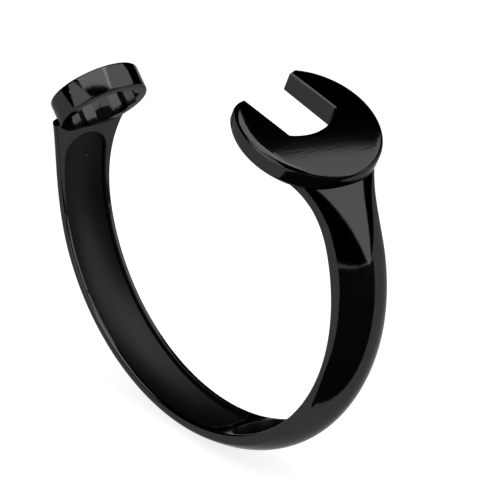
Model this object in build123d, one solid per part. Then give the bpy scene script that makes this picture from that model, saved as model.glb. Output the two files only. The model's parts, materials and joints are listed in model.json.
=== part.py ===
from build123d import *
import os
from math import sin, cos, radians, degrees, hypot, sqrt

# Spanner cuff: an open steel bangle in the shape of a combination spanner bent round a wrist.
# X runs across the cuff, Y along the wrist, Z up. The cuff stands on its round underside with
# its mouth at the top. Everything is drawn in the cuff's own upright plane first, with the
# bridge between the two back pockets straight down, and is then rolled to the way it stands.
# "turn" is the angle round the oval from the bridge: positive towards the jaw head, negative
# towards the ring head. "out" is the distance outwards from the wrist side of the band.

# oval of the wrist side
half_across = 30.0
half_high = 26.3
stance_roll = 14.0

# band: a D section, flat towards the wrist and domed outside
band_half_width = 4.0
edge_thickness = 1.8
crown_thickness = 3.0
edge_round = 0.7

# necks, where the band widens into the heads
jaw_neck_start = 88.0
jaw_neck_end = 113.0
jaw_neck_half_width = 7.0
ring_neck_start = 84.0
ring_neck_end = 123.0
ring_neck_half_width = 5.9
neck_stations = 9
neck_flare_power = 3.2
neck_edge_thickness = 1.5
neck_crown_thickness = 2.4

# pockets cast into the wrist side of the band
pocket_rim = 0.7
pocket_floor_wall = 1.3
bridge_width = 1.7
jaw_pocket_end = 99.0
ring_pocket_end = 117.5

# jaw head: a round plate with an open slot turned from the arm's line
jaw_radius = 9.4
jaw_thickness = 3.2
jaw_face_dome = 0.35
jaw_root_turn = 105.7
jaw_root_out = 1.7
jaw_lean = 49.3
slot_width = 8.8
slot_turn = 15.0
slot_floor_depth = -1.9
slot_floor_sagitta = 1.6
jaw_tip_reach = 7.1
jaw_edge_round = 0.7

# ring head: a round eye with a twelve-point hole
ring_radius = 6.45
ring_thickness = 3.75
ring_root_turn = 117.8
ring_root_out = 0.5
ring_lean = 60.5
ring_across_flats = 9.2
ring_edge_round = 0.35

overshoot = 1.0


def oval_point(turn, out=0.0):
    """Point at a turn round the oval, moved outwards from the wrist side."""
    normal = oval_normal(turn)
    angle = radians(turn)
    return Vector(half_across * sin(angle), 0, -half_high * cos(angle)) + normal * out


def oval_normal(turn):
    angle = radians(turn)
    return Vector(sin(angle) / half_across, 0, -cos(angle) / half_high).normalized()


def oval_frame(turn, out=0.0):
    """Plane square to the band: local X points outwards, local Y along the wrist."""
    normal = oval_normal(turn)
    return Plane(origin=oval_point(turn, out), x_dir=normal, z_dir=normal.cross(Vector(0, 1, 0)))


def turn_per_mm(turn):
    """Degrees of turn in one millimetre of band."""
    angle = radians(turn)
    return degrees(1 / hypot(half_across * cos(angle), half_high * sin(angle)))


def d_section(turn, half_width, edge, crown, inner=0.0, corner=edge_round):
    """D section square to the band: flat wrist side, short flat edges, domed outside."""
    side_top = edge - corner
    shoulder = half_width - corner
    outline = Polyline(
        (side_top, -half_width), (inner, -half_width), (inner, half_width), (side_top, half_width))
    if corner:
        outline += Line((side_top, half_width), (edge, shoulder))
        outline += Line((edge, -shoulder), (side_top, -half_width))
    outline += ThreePointArc((edge, shoulder), (crown, 0), (edge, -shoulder))
    return oval_frame(turn) * make_face(outline)


def neck(start, end, half_width, side):
    """Widening end of the band, lofted from its own section to the head's."""
    sections = []
    for i in range(neck_stations):
        share = i / (neck_stations - 1)
        flare = share ** neck_flare_power
        sections.append(d_section(
            side * (start + (end - start) * share),
            band_half_width + (half_width - band_half_width) * flare,
            edge_thickness + (neck_edge_thickness - edge_thickness) * share,
            crown_thickness + (neck_crown_thickness - crown_thickness) * share,
        ))
    return loft(sections)


def arm_middle():
    """Band between the two necks, at its constant section."""
    start, end = -ring_neck_start, jaw_neck_start
    count = 40
    return loft([
        d_section(start + (end - start) * i / count, band_half_width, edge_thickness, crown_thickness)
        for i in range(count + 1)
    ])


def pocket(tip_low, tip_high):
    """Hollow on the wrist side between two turns, with round ends and a floor that follows the dome."""
    half_width = band_half_width - pocket_rim
    dome_drop = (crown_thickness - edge_thickness) * (half_width / band_half_width) ** 2
    crown = crown_thickness - pocket_floor_wall
    edge = crown - dome_drop
    count = 24
    hollow = loft([
        d_section(tip_low + (tip_high - tip_low) * i / count, half_width, edge, crown, -overshoot, 0)
        for i in range(count + 1)
    ])
    low = tip_low + half_width * turn_per_mm(tip_low)
    high = tip_high - half_width * turn_per_mm(tip_high)
    for centre, away in ((low, -1), (high, 1)):
        frame = oval_frame(centre)
        round_end = Plane(origin=frame.origin, z_dir=frame.x_dir) * Cylinder(half_width, 4 * crown_thickness)
        beyond = frame.offset(away * 2 * half_width) * Box(
            4 * crown_thickness, 4 * half_width, 4 * half_width)
        hollow -= beyond - round_end
    return hollow


def head_frame(root_turn, root_out, lean, radius, side):
    """Plane of a head's wrist face, set where its rim meets the band: local X points to its tip."""
    angle = radians(lean)
    tipward = Vector(-side * sin(angle), 0, cos(angle))
    outward = Vector(side * cos(angle), 0, sin(angle))
    centre = oval_point(side * root_turn, root_out) + tipward * radius
    return Plane(origin=centre, x_dir=tipward, z_dir=outward)


def jaw_blank(frame):
    """Round plate of the jaw head with a shallow dome on its face and softened rims."""
    sphere_radius = (jaw_radius ** 2 + jaw_face_dome ** 2) / (2 * jaw_face_dome)
    plate = Pos(0, 0, jaw_thickness / 2) * Cylinder(jaw_radius, jaw_thickness)
    plate &= Pos(0, 0, jaw_thickness - sphere_radius) * Sphere(sphere_radius)
    plate = fillet(plate.edges().filter_by(GeomType.CIRCLE), jaw_edge_round)
    return frame * plate


def jaw_plate(frame):
    """Jaw head: the plate with flat prong tips and an open slot with parallel flats."""
    slotted = frame * Rot(0, 0, slot_turn)
    plate = jaw_blank(frame) & slotted * Pos(jaw_tip_reach - 2 * jaw_radius, 0, 0) * Box(
        4 * jaw_radius, 4 * jaw_radius, 8 * jaw_radius)
    corner = slot_floor_depth + slot_floor_sagitta
    half = slot_width / 2
    slot = Polyline((corner, -half), (2 * jaw_radius, -half), (2 * jaw_radius, half), (corner, half))
    slot += ThreePointArc((corner, half), (slot_floor_depth, 0), (corner, -half))
    return plate - slotted * extrude(make_face(slot), 2 * jaw_thickness, both=True)


def ring_blank(frame):
    """Round eye of the ring head before its hole is cut."""
    plate = Pos(0, 0, ring_thickness / 2) * Cylinder(ring_radius, ring_thickness)
    plate = fillet(plate.edges().filter_by(GeomType.CIRCLE), ring_edge_round)
    return frame * plate


def ring_plate(frame):
    """Ring head: the eye with a twelve-point hole, two hexagons a twelfth of a turn apart."""
    plate = ring_blank(frame)
    hexagon_radius = ring_across_flats / sqrt(3)
    for turn in (0, 30):
        hexagon = RegularPolygon(hexagon_radius, 6, rotation=turn)
        plate -= frame * extrude(hexagon, 2 * ring_thickness, both=True)
    return plate


def standing(shape):
    """Roll the drawn shape to the way the cuff stands and set its underside on Z = 0."""
    roll = radians(stance_roll)
    underside = hypot(half_across * sin(roll), half_high * cos(roll)) + crown_thickness
    return Pos(0, 0, underside) * Rot(0, -stance_roll, 0) * shape


def wrist_band(jaw_place, ring_place):
    """Domed C-shaped band with its two necks, each cut to the saddle its head is welded on."""
    band = arm_middle()
    band += neck(jaw_neck_start, jaw_neck_end, jaw_neck_half_width, 1)
    band += neck(ring_neck_start, ring_neck_end, ring_neck_half_width, -1)
    bridge_half_turn = bridge_width / 2 * turn_per_mm(0)
    band -= pocket(bridge_half_turn, jaw_pocket_end)
    band -= pocket(-ring_pocket_end, -bridge_half_turn)
    band -= jaw_blank(jaw_place)
    band -= ring_blank(ring_place)
    return band


if __name__ == "__main__":
    os.makedirs("parts", exist_ok=True)
    jaw_place = head_frame(jaw_root_turn, jaw_root_out, jaw_lean, jaw_radius, 1)
    ring_place = head_frame(ring_root_turn, ring_root_out, ring_lean, ring_radius, -1)
    pieces = {
        "wrist_band": wrist_band(jaw_place, ring_place),
        "jaw_head": jaw_plate(jaw_place),
        "ring_head": ring_plate(ring_place),
    }
    for name, piece in pieces.items():
        export_step(standing(piece), f"parts/{name}.step")
        print(name, round(piece.volume, 1), len(piece.solids()))
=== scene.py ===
import bpy
import bmesh
import json
from math import atan2, cos, degrees, hypot, pi, radians, sin, sqrt
from mathutils import Matrix, Vector


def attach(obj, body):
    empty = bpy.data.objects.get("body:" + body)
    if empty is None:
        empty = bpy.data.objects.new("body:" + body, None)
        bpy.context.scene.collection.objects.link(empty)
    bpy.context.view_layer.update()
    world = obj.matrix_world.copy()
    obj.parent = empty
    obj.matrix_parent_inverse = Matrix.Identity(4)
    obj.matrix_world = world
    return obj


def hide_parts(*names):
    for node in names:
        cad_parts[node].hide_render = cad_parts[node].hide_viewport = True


# Open steel cuff bangle in the shape of a combination spanner bent round a wrist: a domed band
# with two cast pockets on its wrist side, an open jaw on one end and a twelve-point ring on the
# other. Metres throughout; X across the cuff, Y along the wrist, Z up.
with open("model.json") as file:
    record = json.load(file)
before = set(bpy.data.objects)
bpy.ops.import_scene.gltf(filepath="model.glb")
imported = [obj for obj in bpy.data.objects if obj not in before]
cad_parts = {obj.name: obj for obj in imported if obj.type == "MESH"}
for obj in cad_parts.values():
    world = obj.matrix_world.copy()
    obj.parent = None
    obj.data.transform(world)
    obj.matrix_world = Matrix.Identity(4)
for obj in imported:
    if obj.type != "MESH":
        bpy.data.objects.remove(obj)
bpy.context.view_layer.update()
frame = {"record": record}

# ---- Camera ------------------------------------------------------------------------------
# Long lens, looking down on the cuff from its front right.
bpy.ops.object.camera_add(
    location=(0.22371, -0.16217, 0.14653), rotation=(radians(66.61), 0, radians(52.99)))
camera = bpy.context.object
camera.data.lens = 165.24
camera.data.sensor_width = 36
bpy.context.scene.camera = camera
bpy.context.scene.view_settings.view_transform = "Standard"


# ---- Band --------------------------------------------------------------------------------
# One steel casting, about 8 mm wide and 3 mm thick at its crown: flat towards the wrist, domed
# outside, widening into a neck at each end. It is cast straight, ground, and bent to its oval,
# then mirror-polished and plated black all over.
mm = 0.001
half_across, half_high, stance_roll = 30 * mm, 26.3 * mm, radians(14)
band_half_width, edge_thickness, crown_thickness = 4 * mm, 1.8 * mm, 3 * mm
outer_edge_round, wrist_edge_round = 0.62 * mm, 0.28 * mm
near = 0.01 * mm
jaw_neck_start, jaw_neck_end, jaw_neck_half_width = 88, 113, 7 * mm
ring_neck_start, ring_neck_end, ring_neck_half_width = 84, 123, 5.9 * mm
neck_flare_power, neck_thinning = 3.2, 0.2
stand_height = hypot(half_across * sin(stance_roll), half_high * cos(stance_roll)) + crown_thickness


def along_oval(turn):
    """Length of the oval's wrist side from the bridge round to a turn in degrees."""
    steps = 200
    step = radians(turn) / steps
    return sum(
        hypot(half_across * cos((i + 0.5) * step), half_high * sin((i + 0.5) * step)) * step
        for i in range(steps))


half_round = along_oval(180)


def edit(piece):
    """Open a piece in edit mode with nothing selected."""
    bpy.ops.object.mode_set(mode="OBJECT")
    bpy.ops.object.select_all(action="DESELECT")
    bpy.context.view_layer.objects.active = piece
    piece.select_set(True)
    bpy.ops.object.mode_set(mode="EDIT")
    bpy.ops.mesh.select_all(action="DESELECT")


def pick(piece, part, wanted):
    """Select only the vertices, edges or faces of the open piece that a test wants."""
    bpy.ops.mesh.select_mode(type={"verts": "VERT", "edges": "EDGE", "faces": "FACE"}[part])
    bpy.ops.mesh.select_all(action="DESELECT")
    shell = bmesh.from_edit_mesh(piece.data)
    for element in getattr(shell, part):
        if wanted(element):
            element.select_set(True)
    if part == "verts":
        shell.select_flush(True)
    bmesh.update_edit_mesh(piece.data)


def runs(edge, axis):
    """True if an edge runs along X (0), Y (1) or Z (2)."""
    way = edge.verts[1].co - edge.verts[0].co
    return abs(way[axis]) > 0.999 * way.length


def close(piece):
    bpy.ops.object.mode_set(mode="OBJECT")


def use(piece, kind, **settings):
    """Add a modifier to a piece, set it and apply it."""
    bpy.ops.object.select_all(action="DESELECT")
    bpy.context.view_layer.objects.active = piece
    piece.select_set(True)
    modifier = piece.modifiers.new(kind.title(), kind)
    for name, value in settings.items():
        setattr(modifier, name, value)
    bpy.ops.object.modifier_apply(modifier=modifier.name)


def cut(piece, tool, keep_tool=False):
    """Take a tool's shape out of a piece."""
    use(piece, "BOOLEAN", operation="DIFFERENCE", object=tool, solver="EXACT",
        material_mode="TRANSFER")
    if not keep_tool:
        bpy.data.objects.remove(tool)


def place(piece, matrix):
    """Move a piece to its place and leave the place in its mesh."""
    bpy.ops.object.select_all(action="DESELECT")
    bpy.context.view_layer.objects.active = piece
    piece.select_set(True)
    piece.matrix_world = matrix
    bpy.ops.object.transform_apply(location=True, rotation=True, scale=True)


class Wire:
    """A value in a material's nodes, so that shader maths reads as plain sums."""

    def __init__(self, tree, socket=None):
        self.tree, self.socket = tree, socket

    def node(self, kind, settings, inputs, output=0):
        """Any other node: its type, its settings and its inputs."""
        made = self.tree.nodes.new(kind)
        for name, value in settings.items():
            setattr(made, name, value)
        for name, value in inputs.items():
            self.feed(made.inputs[name], value)
        return Wire(self.tree, made.outputs[output])

    def feed(self, socket, value):
        if isinstance(value, Wire):
            self.tree.links.new(value.socket, socket)
        else:
            socket.default_value = value

    def mix(self, share, first, second):
        """Two colours mixed. The node's inputs 6 and 7 and its output 2 are colours."""
        return self.node(
            "ShaderNodeMix", {"data_type": "RGBA"}, {0: share, 6: first, 7: second}, output=2)

    def maths(self, operation, first, second):
        return self.node("ShaderNodeMath", {"operation": operation}, {0: first, 1: second})

    def __add__(self, other):
        return self.maths("ADD", self, other)

    def __mul__(self, other):
        return self.maths("MULTIPLY", self, other)

    def __gt__(self, other):
        return self.maths("GREATER_THAN", self, other)

    def __lt__(self, other):
        return self.maths("LESS_THAN", self, other)

    __radd__, __rmul__ = __add__, __mul__


def black_plating(name, tone, dusty_tone, smooth, rough, grain, grain_depth):
    """Black plating over steel: its sheen drifts a little, with fine marks and specks of dust."""
    plating = bpy.data.materials.new(name)
    plating.use_nodes = True
    nodes = Wire(plating.node_tree)
    surface = plating.node_tree.nodes["Principled BSDF"]
    point = nodes.node("ShaderNodeTexCoord", {}, {}, output="Object")
    stretched = nodes.node("ShaderNodeVectorMath", {"operation": "MULTIPLY"}, {0: point, 1: grain})
    marks = nodes.node("ShaderNodeTexNoise", {}, {"Vector": stretched, "Scale": 1, "Detail": 3})
    haze = nodes.node("ShaderNodeTexNoise", {}, {"Vector": point, "Scale": 140, "Detail": 2})
    cells = {"Vector": point, "Scale": 420}
    from_middle = nodes.node("ShaderNodeTexVoronoi", {}, cells)
    cell_colour = nodes.node("ShaderNodeTexVoronoi", {}, cells, output="Color")
    chance = nodes.node("ShaderNodeSeparateColor", {}, {"Color": cell_colour})
    dust = (from_middle < 0.05) * (chance > 0.8)
    brighter = tuple(channel * 1.25 for channel in tone[:3]) + (1,)
    colour = nodes.mix(haze * 0.5 + marks * 0.5, tone, brighter)
    nodes.feed(surface.inputs["Base Color"], nodes.mix(dust, colour, dusty_tone))
    sheen = smooth + (rough - smooth) * (haze * 0.6 + marks * 0.6) + 0.3 * dust
    nodes.feed(surface.inputs["Roughness"], sheen)
    relief = nodes.node(
        "ShaderNodeBump", {}, {"Strength": 1, "Distance": grain_depth, "Height": marks})
    nodes.feed(surface.inputs["Normal"], relief)
    surface.inputs["Metallic"].default_value = 1
    surface.inputs["Specular Tint"].default_value = (0.6, 0.6, 0.6, 1)
    return plating


# Polishing marks run across the band; the pockets keep the satin skin of the casting.
polished = black_plating(
    "plating_polished", tone=(0.047, 0.047, 0.049, 1), dusty_tone=(0.2, 0.2, 0.2, 1),
    smooth=0.04, rough=0.12, grain=(3600, 420, 3600), grain_depth=0.000003)
satin = black_plating(
    "plating_satin", tone=(0.021, 0.021, 0.022, 1), dusty_tone=(0.15, 0.15, 0.15, 1),
    smooth=0.34, rough=0.5, grain=(3800, 3800, 3800), grain_depth=0.000008)


def dome(across, rise, shoulder):
    return rise * (1 - (across / shoulder) ** 2)


# The straight bar lies along X with its jaw end at low X, wrist side at y = 0 and crown towards +Y.
bar_start = half_round - along_oval(jaw_neck_end)
bar_end = half_round + along_oval(ring_neck_end)
bpy.ops.object.select_all(action="DESELECT")
bpy.ops.mesh.primitive_cube_add(
    size=1, location=((bar_start + bar_end) / 2, edge_thickness / 2, 0),
    scale=(bar_end - bar_start, edge_thickness, 2 * band_half_width))
band = bpy.context.object
band.name = "wrist_band_polished"
band.data.materials.append(polished)
bpy.ops.object.transform_apply(location=True, rotation=True, scale=True)
edit(band)
crown_rise = crown_thickness - edge_thickness
shoulder = band_half_width - 0.7 * mm
columns = 24
pick(band, "edges", lambda e: runs(e, 2))
bpy.ops.mesh.subdivide(number_cuts=columns - 1)
for column in range(columns + 1):
    across = band_half_width * (2 * column / columns - 1)
    pick(band, "verts", lambda v: v.co.y > edge_thickness / 2 and abs(v.co.z - across) < near)
    bpy.ops.transform.translate(value=(0, dome(across, crown_rise, shoulder), 0))


def outermost(edge):
    """True for the two long edges on either side of the bar."""
    return runs(edge, 0) and abs(edge.verts[0].co.z) > band_half_width - near


pick(band, "edges", lambda e: outermost(e) and e.verts[0].co.y > near)
bpy.ops.mesh.bevel(offset=outer_edge_round, segments=6)
pick(band, "edges", lambda e: outermost(e) and e.verts[0].co.y < near)
bpy.ops.mesh.bevel(offset=wrist_edge_round, segments=4)
thirds, rows_each = 3, 90
bar_rows = thirds * rows_each
for pieces in (thirds, rows_each):
    pick(band, "edges", lambda e: runs(e, 0))
    bpy.ops.mesh.subdivide(number_cuts=pieces - 1)


def flare(piece, start, end, half_width, side):
    """Widen and thin one end of the bar, row by row, into a neck."""
    for row in range(bar_rows + 1):
        reach = bar_start + (bar_end - bar_start) * row / bar_rows
        low, high = along_oval(start), along_oval(end)
        share = (side * (reach - half_round) - low) / (high - low)
        if share <= 0:
            continue
        widen = 1 + (half_width / band_half_width - 1) * share ** neck_flare_power
        pick(piece, "verts", lambda v: abs(v.co.x - reach) < near)
        bpy.ops.transform.resize(
            value=(1, 1 - neck_thinning * share, widen), center_override=(reach, 0, 0))


flare(band, jaw_neck_start, jaw_neck_end, jaw_neck_half_width, -1)
flare(band, ring_neck_start, ring_neck_end, ring_neck_half_width, 1)
close(band)

# Pockets cast into the wrist side, with round ends, eased lips and a floor that follows the dome.
# Each cutter gets rows and columns of its own, so that it bends with the bar.
pocket_rim, floor_wall, bridge_width, lip = 0.7 * mm, 1.3 * mm, 1.7 * mm, 0.16 * mm
jaw_pocket_end, ring_pocket_end = 99, 117.5
pocket_half = band_half_width - pocket_rim
floor_rise = crown_rise * (pocket_half / band_half_width) ** 2
floor = crown_thickness - floor_wall - floor_rise
pocket_rows, pocket_columns, lip_steps = 90, 12, 3
for low, high in (
        (half_round - along_oval(jaw_pocket_end), half_round - bridge_width / 2),
        (half_round + bridge_width / 2, half_round + along_oval(ring_pocket_end))):
    bpy.ops.mesh.primitive_cube_add(
        size=1, location=((low + high) / 2, (lip + floor) / 2, 0),
        scale=(high - low, floor - lip, 2 * pocket_half))
    hollow = bpy.context.object
    hollow.data.materials.append(satin)
    bpy.ops.object.transform_apply(location=True, rotation=True, scale=True)
    edit(hollow)
    pick(hollow, "edges", lambda e: runs(e, 1))
    bpy.ops.mesh.bevel(offset=pocket_half * 0.999, segments=20)
    pick(hollow, "faces", lambda f: f.normal.y < -0.9)
    for step in range(lip_steps):
        before, after = (radians(90) * (step + i) / lip_steps for i in (0, 1))
        spread = lip * (cos(before) - cos(after))
        bpy.ops.mesh.extrude_region_move(
            TRANSFORM_OT_translate={"value": (0, lip * (sin(before) - sin(after)), 0)})
        bpy.ops.transform.resize(
            value=(1 + 2 * spread / (high - low), 1, 1 + spread / pocket_half),
            center_override=((low + high) / 2, 0, 0))
    bpy.ops.mesh.extrude_region_move(TRANSFORM_OT_translate={"value": (0, -crown_thickness, 0)})
    for row in range(1, pocket_rows):
        bpy.ops.mesh.select_all(action="SELECT")
        bpy.ops.mesh.bisect(
            plane_co=(low + (high - low) * row / pocket_rows, 0, 0), plane_no=(1, 0, 0))
    for column in range(1, pocket_columns):
        bpy.ops.mesh.select_all(action="SELECT")
        bpy.ops.mesh.bisect(
            plane_co=(0, 0, pocket_half * (2 * column / pocket_columns - 1)), plane_no=(0, 0, 1))
    shell = bmesh.from_edit_mesh(hollow.data)
    for across in sorted({round(v.co.z / mm, 3) for v in shell.verts}):
        pick(hollow, "verts", lambda v: v.co.y > floor - near
             and abs(v.co.z - across * mm) < 0.0006 * mm)
        bpy.ops.transform.translate(value=(0, dome(across * mm, floor_rise, pocket_half), 0))
    close(hollow)
    cut(band, hollow)

# The oval it is bent to, run clockwise from the mouth, seen with Y up.
bpy.ops.curve.primitive_bezier_circle_add(radius=1)
oval = bpy.context.object
oval.data.resolution_u = 256
quarter_circle_handle = 0.5522847
for point in oval.data.splines[0].bezier_points:
    point.handle_left_type = point.handle_right_type = "FREE"
    ahead = Vector((point.co.y, -point.co.x, 0)) * quarter_circle_handle
    point.handle_right, point.handle_left = point.co + ahead, point.co - ahead
place(oval, Matrix.Diagonal((half_across, half_high, 1, 1)) @ Matrix.Rotation(pi, 4, "Z"))
oval.data.dimensions = "2D"
# Scaling the circle also scaled its points' radius, which would thin the band as it bends.
for point in oval.data.splines[0].bezier_points:
    point.radius = 1
use(band, "CURVE", object=oval, deform_axis="POS_X")
bpy.data.objects.remove(oval)
standing = Matrix.Translation((0, 0, stand_height)) @ Matrix.Rotation(-stance_roll, 4, "Y")
place(band, standing @ Matrix.Rotation(pi / 2, 4, "X"))
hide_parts("wrist_band")
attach(band, "root")

# ---- Jaw head ----------------------------------------------------------------------------
# Round open-end head in the same steel, flat on its wrist side and slightly domed outside, welded
# face to face on the jaw neck. Its slot has two parallel flats turned 15 degrees from the arm.
jaw_radius, jaw_thickness, jaw_dome, jaw_rim = 9.4 * mm, 3.2 * mm, 0.35 * mm, 0.7 * mm
slot_width, slot_floor, slot_sagitta = 8.8 * mm, -1.9 * mm, 1.6 * mm
jaw_tip_reach, jaw_lean, slot_ease = 7.1 * mm, radians(49.3), 0.22 * mm
mounts = {m["name"]: m for m in frame["record"]["mounts"]}
front_flat = Vector(mounts["jaw_slot_front_flat"]["pos_m"])
back_flat = Vector(mounts["jaw_slot_back_flat"]["pos_m"])
slot_across = (front_flat - back_flat).normalized()
jaw_outward = Vector((cos(jaw_lean + stance_roll), 0, sin(jaw_lean + stance_roll)))
slot_along = slot_across.cross(jaw_outward)
slot_middle = (slot_floor + slot_sagitta + jaw_tip_reach) / 2
jaw_centre = ((front_flat + back_flat) / 2 - slot_along * slot_middle
              - jaw_outward * jaw_thickness / 2)
slot_place = Matrix.Translation(jaw_centre) @ Matrix(
    (slot_along, slot_across, jaw_outward)).transposed().to_4x4()

# A slotted disc first, its edges eased, then its face crowned and its back left flat.
bpy.ops.mesh.primitive_cylinder_add(
    vertices=192, radius=jaw_radius, depth=jaw_thickness, location=(0, 0, jaw_thickness / 2))
jaw = bpy.context.object
jaw.name = "jaw_head_polished"
jaw.data.materials.append(polished)
bpy.ops.object.transform_apply(location=True, rotation=True, scale=True)

# Cutter with the slot's two flats and its hollow floor.
slot_start, slot_stop, slot_half = slot_floor + slot_sagitta, 2 * jaw_radius, slot_width / 2
bpy.ops.mesh.primitive_cube_add(
    size=1, location=((slot_start + slot_stop) / 2, 0, 0),
    scale=(slot_stop - slot_start, slot_width, 4 * jaw_thickness))
slot = bpy.context.object
slot.data.materials.append(polished)
bpy.ops.object.transform_apply(location=True, rotation=True, scale=True)
edit(slot)
floor_steps = 32
pick(slot, "edges", lambda e: runs(e, 1) and e.verts[0].co.x < slot_start + near)
bpy.ops.mesh.subdivide(number_cuts=floor_steps - 1)
bend = (slot_half ** 2 + slot_sagitta ** 2) / (2 * slot_sagitta)
for step in range(floor_steps + 1):
    y = slot_half * (2 * step / floor_steps - 1)
    pick(slot, "verts", lambda v: v.co.x < slot_start + near and abs(v.co.y - y) < near)
    bpy.ops.transform.translate(value=(bend - slot_sagitta - sqrt(bend ** 2 - y ** 2), 0, 0))
close(slot)
cut(jaw, slot)

bpy.ops.mesh.primitive_cube_add(size=4 * jaw_radius, location=(jaw_tip_reach + 2 * jaw_radius, 0, 0))
tip = bpy.context.object
tip.data.materials.append(polished)
bpy.ops.object.transform_apply(location=True, rotation=True, scale=True)
cut(jaw, tip)


def lies_round(vert):
    return hypot(vert.co.x, vert.co.y) > jaw_radius - near / 2


def lies_flat(vert):
    return abs(vert.co.z - jaw_thickness / 2) > jaw_thickness / 2 - near / 2


def face_edge(edge):
    """True for an edge of either flat face, not one that runs through the thickness."""
    return not runs(edge, 2) and len(edge.link_faces) == 2 and edge.calc_face_angle(0) > radians(60)


edit(jaw)
pick(jaw, "edges", lambda e: face_edge(e) and all(lies_round(v) for v in e.verts))
bpy.ops.mesh.bevel(offset=jaw_rim, segments=7)
pick(jaw, "edges", lambda e: face_edge(e) and all(lies_flat(v) for v in e.verts))
bpy.ops.mesh.bevel(offset=slot_ease, segments=3)
grid = 0.5 * mm
for axis in ((1, 0, 0), (0, 1, 0)):
    for step in range(-18, 19):
        pick(jaw, "faces", lambda f: f.normal.z > 0.99)
        bpy.ops.mesh.bisect(plane_co=Vector(axis) * step * grid, plane_no=axis)
sphere_radius = (jaw_radius ** 2 + jaw_dome ** 2) / (2 * jaw_dome)
shell = bmesh.from_edit_mesh(jaw.data)
reaches = {round(hypot(v.co.x, v.co.y) / mm, 3) for v in shell.verts if v.co.z > jaw_thickness / 2}
for reach in sorted(reaches):
    pick(jaw, "verts", lambda v: v.co.z > jaw_thickness / 2
         and round(hypot(v.co.x, v.co.y) / mm, 3) == reach)
    bpy.ops.transform.translate(value=(0, 0, -(reach * mm) ** 2 / (2 * sphere_radius)))
close(jaw)
place(jaw, slot_place)
cut(band, jaw, keep_tool=True)
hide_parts("jaw_head")
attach(jaw, "root")

# ---- Ring head ---------------------------------------------------------------------------
# Round eye in the same steel on the ring neck, with a twelve-point hole broached through it.
ring_radius, ring_thickness, ring_rim = 6.45 * mm, 3.75 * mm, 0.35 * mm
across_flats = 9.2 * mm
ring_hole = mounts["ring_hole"]
ring_outward = Vector(ring_hole["axis"]).normalized()
ring_across = Vector((0, 1, 0))
ring_centre = Vector(ring_hole["pos_m"]) - ring_outward * ring_thickness / 2
ring_place = Matrix.Translation(ring_centre) @ Matrix(
    (ring_across.cross(ring_outward), ring_across, ring_outward)).transposed().to_4x4()


def turned(name, profile, segments):
    """A solid turned about Z from its half profile of (radius, height) points, axis to axis."""
    bpy.ops.object.select_all(action="DESELECT")
    bpy.ops.mesh.primitive_plane_add(size=1)
    piece = bpy.context.object
    piece.name = name
    piece.data.materials.append(polished)
    edit(piece)
    bpy.ops.mesh.select_all(action="SELECT")
    bpy.ops.mesh.merge(type="CENTER")
    first = profile[0]
    bpy.ops.transform.translate(value=(first[0], 0, first[1]))
    for (r0, h0), (r1, h1) in zip(profile, profile[1:]):
        bpy.ops.mesh.extrude_region_move(
            TRANSFORM_OT_translate={"value": (r1 - r0, 0, h1 - h0)})
    bpy.ops.mesh.select_all(action="SELECT")
    bpy.ops.mesh.spin(steps=segments, angle=2 * pi, center=(0, 0, 0), axis=(0, 0, 1))
    bpy.ops.mesh.select_all(action="SELECT")
    bpy.ops.mesh.remove_doubles(threshold=0.001 * mm)
    bpy.ops.mesh.normals_make_consistent(inside=False)
    close(piece)
    return piece


def rim(radius, height, inwards, start, steps=6):
    """Quarter-round of a rim: centre at (radius, height), from one angle through 90 degrees."""
    return [(radius + inwards * cos(radians(start + 90 * i / steps)),
             height + inwards * sin(radians(start + 90 * i / steps))) for i in range(steps + 1)]


ring_profile = [(0, 0)] + rim(ring_radius - ring_rim, ring_rim, ring_rim, -90)
ring_profile += rim(ring_radius - ring_rim, ring_thickness - ring_rim, ring_rim, 0)
ring_profile.append((0, ring_thickness))
ring = turned("ring_head_polished", ring_profile, 160)
place(ring, ring_place)
cut(band, ring, keep_tool=True)

# Broach with twelve points; the corners between them are drawn in to the two hexagons' crossings.
point_radius = across_flats / sqrt(3)
valley_radius = across_flats / 2 / cos(radians(15))
bpy.ops.mesh.primitive_cylinder_add(
    vertices=24, radius=point_radius, depth=4 * ring_thickness, end_fill_type="NGON")
broach = bpy.context.object
broach.data.materials.append(polished)
edit(broach)
pick(broach, "verts", lambda v: round(degrees(atan2(v.co.y, v.co.x)) / 15) % 2 == 1)
drawn_in = valley_radius / point_radius
bpy.ops.transform.resize(value=(drawn_in, drawn_in, 1), center_override=(0, 0, 0))
close(broach)
place(broach, ring_place)
cut(ring, broach)

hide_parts("ring_head")
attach(ring, "root")

# The band has its last cut only now, so all three are shaded here, smooth up to their real edges.
for piece in (band, jaw, ring):
    bpy.ops.object.select_all(action="DESELECT")
    bpy.context.view_layer.objects.active = piece
    piece.select_set(True)
    bpy.ops.object.shade_smooth_by_angle(angle=radians(32))

# ---- Studio ------------------------------------------------------------------------------
# Plain white paper floor in a dark room, with soft boxes to the right, front left and overhead.
bpy.ops.mesh.primitive_plane_add(size=6)
floor_sheet = bpy.context.object
floor_sheet.name = "floor"
paper = bpy.data.materials.new("white_paper")
paper.use_nodes = True
paper_surface = paper.node_tree.nodes["Principled BSDF"]
paper_surface.inputs["Base Color"].default_value = (0.4, 0.4, 0.4, 1)
paper_surface.inputs["Roughness"].default_value = 0.9
paper_surface.inputs["Emission Color"].default_value = (1, 1, 1, 1)
paper_surface.inputs["Emission Strength"].default_value = 0.78
floor_sheet.data.materials.append(paper)

world = bpy.data.worlds.new("dark_studio")
bpy.context.scene.world = world
world.use_nodes = True
world.node_tree.nodes["Background"].inputs["Color"].default_value = (0, 0, 0, 1)

cuff_middle = 0.03


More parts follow.
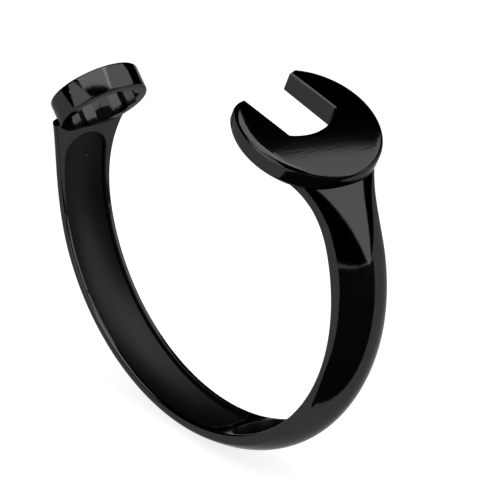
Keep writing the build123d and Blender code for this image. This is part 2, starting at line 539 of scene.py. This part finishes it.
def soft_box(name, azimuth, elevation, distance, width, height, brightness, spin):
    """Panel facing the cuff. Azimuth 0 lies towards -Y and 90 towards +X."""
    a, e = radians(azimuth), radians(elevation)
    way = Vector((sin(a) * cos(e), -cos(a) * cos(e), sin(e)))
    facing = way.to_track_quat("Z", "Y")
    middle = way * distance + Vector((0, 0, cuff_middle))
    bpy.ops.object.light_add(type="AREA", location=middle)
    panel = bpy.context.object
    panel.name = name
    turned_panel = facing @ Matrix.Rotation(radians(spin), 3, "Z").to_quaternion()
    panel.rotation_euler = turned_panel.to_euler()
    panel.data.shape = "RECTANGLE"
    panel.data.size, panel.data.size_y = width, height
    panel.data.energy = brightness * width * height * pi
    panel.visible_camera = False


soft_box("soft_box_right", 131, 40, 0.4, 0.6, 0.5, 1.47, spin=40)
soft_box("soft_box_left", 9, 16, 0.5, 0.51, 0.33, 1.3, spin=12)
soft_box("soft_box_top", 356, 74, 0.6, 0.62, 0.8, 2.0, spin=-21)

# Two cards lie on the floor, hidden from the camera, and are seen only as painted reflections: a
# grey one that glows all round the cuff, and a black one on it in front that paints a dark
# reflection.
towards_camera, sideways = Vector((0.8, -0.6, 0)), Vector((0.6, 0.8, 0))


def painted_reflection_card(name, tone, size, middle):
    """Matt card lying on the floor that only mirror surfaces see: its glow is a painted reflection,
    and with no glow it paints a dark reflection.
    """
    bpy.ops.mesh.primitive_plane_add(size=size, location=middle, rotation=(0, 0, atan2(-0.6, 0.8)))
    sheet = bpy.context.object
    sheet.name = name
    reflection_paint = bpy.data.materials.new(name)
    reflection_paint.use_nodes = True
    face = reflection_paint.node_tree.nodes["Principled BSDF"]
    face.inputs["Base Color"].default_value = (0.01, 0.01, 0.01, 1)
    face.inputs["Roughness"].default_value = 1
    # Painted reflection: the card glows at this strength, and only mirror surfaces see it.
    face.inputs["Emission Color"].default_value = (1, 1, 1, 1)
    face.inputs["Emission Strength"].default_value = tone
    sheet.data.materials.append(reflection_paint)
    # Hidden from the camera, from shadows and from diffuse light, so it shows only as a painted
    # reflection.
    sheet.visible_camera = sheet.visible_shadow = sheet.visible_diffuse = False


# Painted reflections: a grey glow under and round the cuff, and a dark reflection in front of it.
painted_reflection_card("grey_card", 0.6, 2.0, (0, 0, 0.0001))
painted_reflection_card("black_card", 0.0, 0.6, towards_camera * 0.327 + sideways * 0.28 + Vector((0, 0, 0.0005)))
